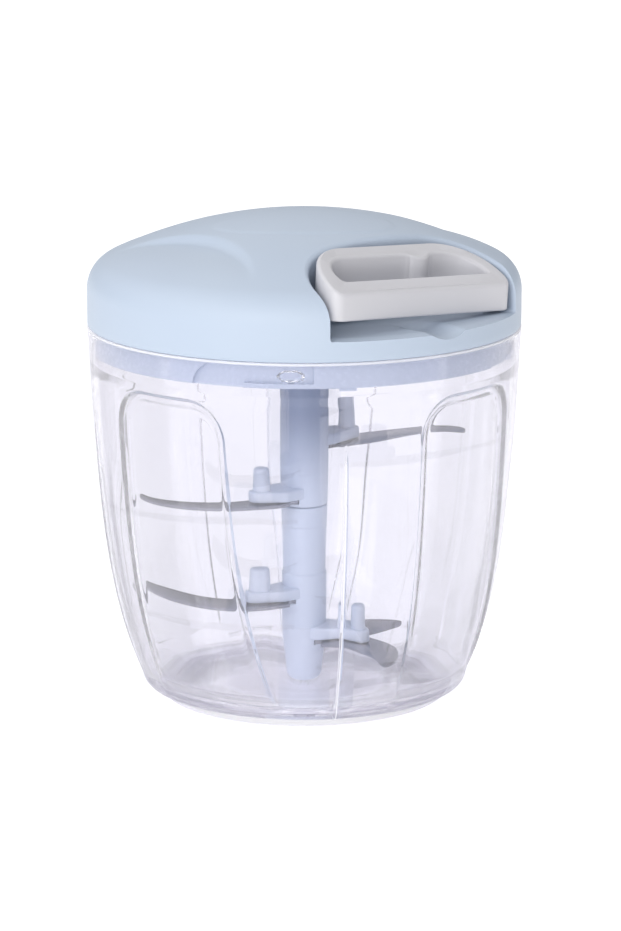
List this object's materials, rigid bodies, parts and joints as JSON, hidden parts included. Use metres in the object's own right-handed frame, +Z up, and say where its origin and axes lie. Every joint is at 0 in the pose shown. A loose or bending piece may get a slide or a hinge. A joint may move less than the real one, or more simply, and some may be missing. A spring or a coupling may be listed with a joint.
{
  "type": "pull-cord food chopper",
  "caption": "Hand-worked food chopper: clear bowl with stacked sickle blades, domed twist-on lid and a recessed D-shaped pull handle whose cord spins the blades.",
  "frame": {"origin": "centre of the base ring's underside", "axes": "+Z up along the axis of the bowl, -Y to the front of the picture; the handle pulls out along azimuth 40 degrees from the front towards +X"},
  "size_m": [0.1262, 0.1262, 0.143],
  "materials": {
    "clear_bowl": "clear, polished, faint lavender tint",
    "silicone": "translucent white, satin",
    "steel": "machined",
    "lid_blue": "satin, pale blue",
    "cover_blue": "smooth, pale blue",
    "reel_white": "moulded, white",
    "hub_blue": "smooth, blue",
    "spring_steel": "blued strip",
    "blade_steel": "brushed, ground edge",
    "handle_grey": "satin, warm light grey",
    "cord": "braided, white"
  },
  "bodies": {
    "bowl": {"bowl": "clear_bowl", "base_ring": "silicone", "pivot_pin": "steel"},
    "lid": {"lid_shell": "lid_blue", "inner_cover": "cover_blue", "seal_ring": "silicone", "cord_guide": "steel", "cover_screw_1": "steel", "cover_screw_2": "steel", "cover_screw_3": "steel", "cover_screw_4": "steel"},
    "rotor": {"cord_reel": "reel_white", "drive_socket": "hub_blue", "recoil_spring": "spring_steel", "cord_winding": "cord", "upper_blade_hub": "hub_blue", "lower_blade_hub": "hub_blue", "blade_1": "blade_steel", "blade_2": "blade_steel", "blade_3": "blade_steel", "blade_4": "blade_steel", "blade_5": "blade_steel"},
    "handle": {"pull_handle": "handle_grey", "cord_knot": "cord", "cord_lead": "cord"}
  },
  "joints": [
    {"name": "lid_turn", "type": "hinge", "parent": "bowl", "child": "lid", "pos_m": [0, 0, 0.107], "axis": [0, 0, 1], "range_deg": [0, 20]},
    {"name": "reel_spin", "type": "hinge", "parent": "lid", "child": "rotor", "pos_m": [0, 0, 0.122], "axis": [0, 0, 1], "range_deg": [-1718.8, 0], "stiffness_Nm_per_rad": 0.001, "springref_deg": 1718.87},
    {"name": "handle_pull", "type": "slide", "parent": "lid", "child": "handle", "axis": [0.6428, -0.766, 0], "range_m": [0, 0.3]}
  ],
  "couplings": [
    {"joint": "handle_pull", "follows": "reel_spin", "m_per_rad": -0.01}
  ]
}
